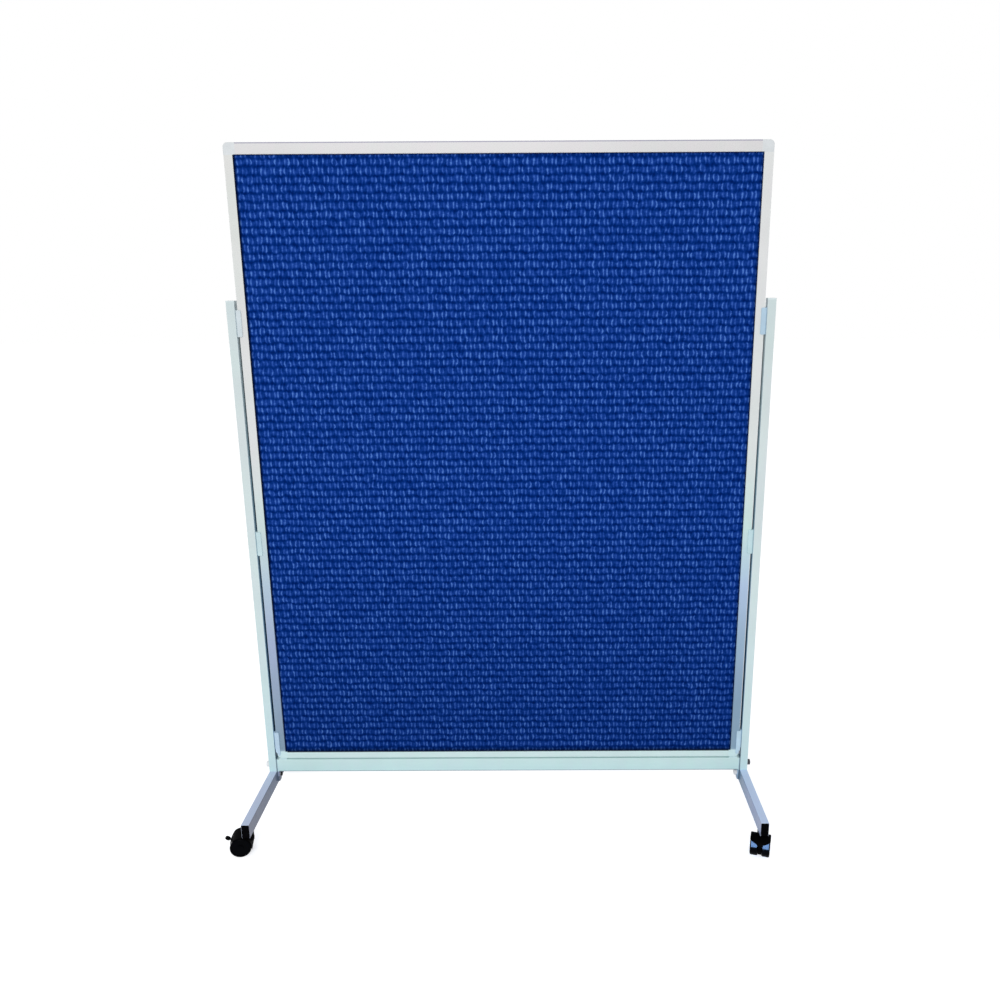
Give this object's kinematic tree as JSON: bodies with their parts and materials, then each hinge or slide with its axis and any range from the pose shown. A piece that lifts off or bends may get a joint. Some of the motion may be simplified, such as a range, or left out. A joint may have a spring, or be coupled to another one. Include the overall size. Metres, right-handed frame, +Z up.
{
  "type": "rolling pinboard partition",
  "caption": "Rolling partition screen: blue cloth pinboard in a slim pale frame, clipped between two uprights on a stand with splayed feet and black twin-wheel castors.",
  "frame": {"origin": "on the floor, under the middle of the panel", "axes": "+X to the right across the panel, +Y towards the back, +Z up; the front of the board faces -Y"},
  "size_m": [1.3438, 0.5238, 1.628],
  "materials": {
    "frame_enamel": "satin",
    "corner_plastic": "satin",
    "softboard": "matte",
    "pinboard_cloth": "matte",
    "pad_rubber": "matte",
    "cap_plastic": "satin",
    "stand_enamel": "satin",
    "black_plastic": "satin",
    "zinc_steel": "satin",
    "black_steel": "satin",
    "clip_plastic": "satin",
    "cover_plastic": "gloss",
    "castor_plastic": "satin",
    "wheel_plastic": "gloss",
    "castor_steel": "satin"
  },
  "bodies": {
    "stand": {"frame_rail_top": "frame_enamel", "frame_rail_bottom": "frame_enamel", "frame_stile_left": "frame_enamel", "frame_stile_right": "frame_enamel", "corner_top_left": "corner_plastic", "corner_top_right": "corner_plastic", "corner_bottom_left": "corner_plastic", "corner_bottom_right": "corner_plastic", "pinboard_core": "softboard", "cloth_front": "pinboard_cloth", "cloth_back": "pinboard_cloth", "seat_pads": "pad_rubber", "upright_left": "stand_enamel", "upright_right": "stand_enamel", "upright_cap_left": "cap_plastic", "upright_cap_right": "cap_plastic", "crossbar": "stand_enamel", "crossbar_plate_left": "stand_enamel", "crossbar_plate_right": "stand_enamel", "foot_left": "stand_enamel", "foot_right": "stand_enamel", "foot_cap_front_left": "black_plastic", "foot_cap_front_right": "black_plastic", "foot_cap_rear_left": "black_plastic", "foot_cap_rear_right": "black_plastic", "clip_top_left": "clip_plastic", "clip_top_right": "clip_plastic", "clip_middle_left": "clip_plastic", "clip_middle_right": "clip_plastic", "clip_bottom_left": "clip_plastic", "clip_bottom_right": "clip_plastic", "clip_screws": "zinc_steel", "frame_bolts": "black_steel", "frame_washers": "zinc_steel", "frame_nuts": "zinc_steel", "bolt_covers": "cover_plastic", "castor_sockets": "black_plastic"},
    "castor_front_left": {"castor_hood_front_left": "castor_plastic", "castor_stem_front_left": "castor_steel", "castor_axle_front_left": "castor_steel"},
    "wheel_a_front_left": {"castor_wheel_a_front_left": "wheel_plastic"},
    "wheel_b_front_left": {"castor_wheel_b_front_left": "wheel_plastic"},
    "brake_front_left": {"brake_lever_front_left": "castor_plastic"},
    "castor_front_right": {"castor_hood_front_right": "castor_plastic", "castor_stem_front_right": "castor_steel", "castor_axle_front_right": "castor_steel"},
    "wheel_a_front_right": {"castor_wheel_a_front_right": "wheel_plastic"},
    "wheel_b_front_right": {"castor_wheel_b_front_right": "wheel_plastic"},
    "castor_rear_left": {"castor_hood_rear_left": "castor_plastic", "castor_stem_rear_left": "castor_steel", "castor_axle_rear_left": "castor_steel"},
    "wheel_a_rear_left": {"castor_wheel_a_rear_left": "wheel_plastic"},
    "wheel_b_rear_left": {"castor_wheel_b_rear_left": "wheel_plastic"},
    "castor_rear_right": {"castor_hood_rear_right": "castor_plastic", "castor_stem_rear_right": "castor_steel", "castor_axle_rear_right": "castor_steel"},
    "wheel_a_rear_right": {"castor_wheel_a_rear_right": "wheel_plastic"},
    "wheel_b_rear_right": {"castor_wheel_b_rear_right": "wheel_plastic"},
    "brake_rear_right": {"brake_lever_rear_right": "castor_plastic"}
  },
  "joints": [
    {"name": "swivel_front_left", "type": "hinge", "parent": "stand", "child": "castor_front_left", "pos_m": [-0.6155, -0.212, 0.054], "axis": [0, 0, 1], "continuous": true},
    {"name": "wheel_a_front_left_spin", "type": "hinge", "parent": "castor_front_left", "child": "wheel_a_front_left", "pos_m": [-0.63611, -0.21601, 0.025], "axis": [0.1908, -0.9816, 0], "continuous": true},
    {"name": "wheel_b_front_left_spin", "type": "hinge", "parent": "castor_front_left", "child": "wheel_b_front_left", "pos_m": [-0.63611, -0.21601, 0.025], "axis": [0.1908, -0.9816, 0], "continuous": true},
    {"name": "brake_front_left", "type": "hinge", "parent": "castor_front_left", "child": "brake_front_left", "pos_m": [-0.65477, -0.21963, 0.036], "axis": [0.1908, -0.9816, 0], "range_deg": [0, 14]},
    {"name": "swivel_front_right", "type": "hinge", "parent": "stand", "child": "castor_front_right", "pos_m": [0.6155, -0.212, 0.054], "axis": [0, 0, 1], "continuous": true},
    {"name": "wheel_a_front_right_spin", "type": "hinge", "parent": "castor_front_right", "child": "wheel_a_front_right", "pos_m": [0.60901, -0.23197, 0.025], "axis": [0.9511, -0.309, 0], "continuous": true},
    {"name": "wheel_b_front_right_spin", "type": "hinge", "parent": "castor_front_right", "child": "wheel_b_front_right", "pos_m": [0.60901, -0.23197, 0.025], "axis": [0.9511, -0.309, 0], "continuous": true},
    {"name": "swivel_rear_left", "type": "hinge", "parent": "stand", "child": "castor_rear_left", "pos_m": [-0.6155, 0.212, 0.054], "axis": [0, 0, 1], "continuous": true},
    {"name": "wheel_a_rear_left_spin", "type": "hinge", "parent": "castor_rear_left", "child": "wheel_a_rear_left", "pos_m": [-0.60901, 0.23197, 0.025], "axis": [-0.9511, 0.309, 0], "continuous": true},
    {"name": "wheel_b_rear_left_spin", "type": "hinge", "parent": "castor_rear_left", "child": "wheel_b_rear_left", "pos_m": [-0.60901, 0.23197, 0.025], "axis": [-0.9511, 0.309, 0], "continuous": true},
    {"name": "swivel_rear_right", "type": "hinge", "parent": "stand", "child": "castor_rear_right", "pos_m": [0.6155, 0.212, 0.054], "axis": [0, 0, 1], "continuous": true},
    {"name": "wheel_a_rear_right_spin", "type": "hinge", "parent": "castor_rear_right", "child": "wheel_a_rear_right", "pos_m": [0.63611, 0.21601, 0.025], "axis": [-0.1908, 0.9816, 0], "continuous": true},
    {"name": "wheel_b_rear_right_spin", "type": "hinge", "parent": "castor_rear_right", "child": "wheel_b_rear_right", "pos_m": [0.63611, 0.21601, 0.025], "axis": [-0.1908, 0.9816, 0], "continuous": true},
    {"name": "brake_rear_right", "type": "hinge", "parent": "castor_rear_right", "child": "brake_rear_right", "pos_m": [0.65477, 0.21963, 0.036], "axis": [-0.1908, 0.9816, 0], "range_deg": [0, 14]}
  ]
}
